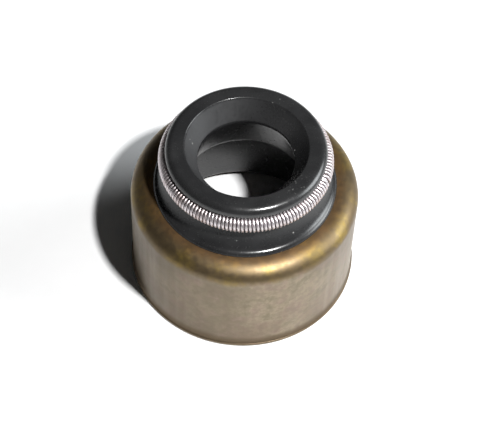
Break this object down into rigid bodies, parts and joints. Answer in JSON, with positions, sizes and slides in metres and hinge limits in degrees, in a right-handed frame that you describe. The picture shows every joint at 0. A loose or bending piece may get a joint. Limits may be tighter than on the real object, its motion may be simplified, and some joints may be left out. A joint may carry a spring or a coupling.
{
  "type": "valve stem seal",
  "caption": "Engine valve stem seal: open drawn steel cup with a rounded shoulder, a bonded rubber neck with a conical mouth and sealing lip, and a close-wound garter spring.",
  "frame": {"origin": "centre of the case's open lower edge, on the surface the seal stands on", "axes": "+Z along the valve's stem, from the open lower edge up to the sealing head; +Y away from the picture's viewer, +X to their right"},
  "size_m": [0.016, 0.016, 0.0125],
  "materials": {
    "case_steel": "dull grey-beige steel, stained golden brown on the shoulder",
    "seal_rubber": "smooth black, soft sheen",
    "spring_steel": "bright drawn wire"
  },
  "bodies": {
    "root": {"metal_case": "case_steel", "rubber_seal": "seal_rubber", "garter_spring": "spring_steel"}
  },
  "joints": []
}
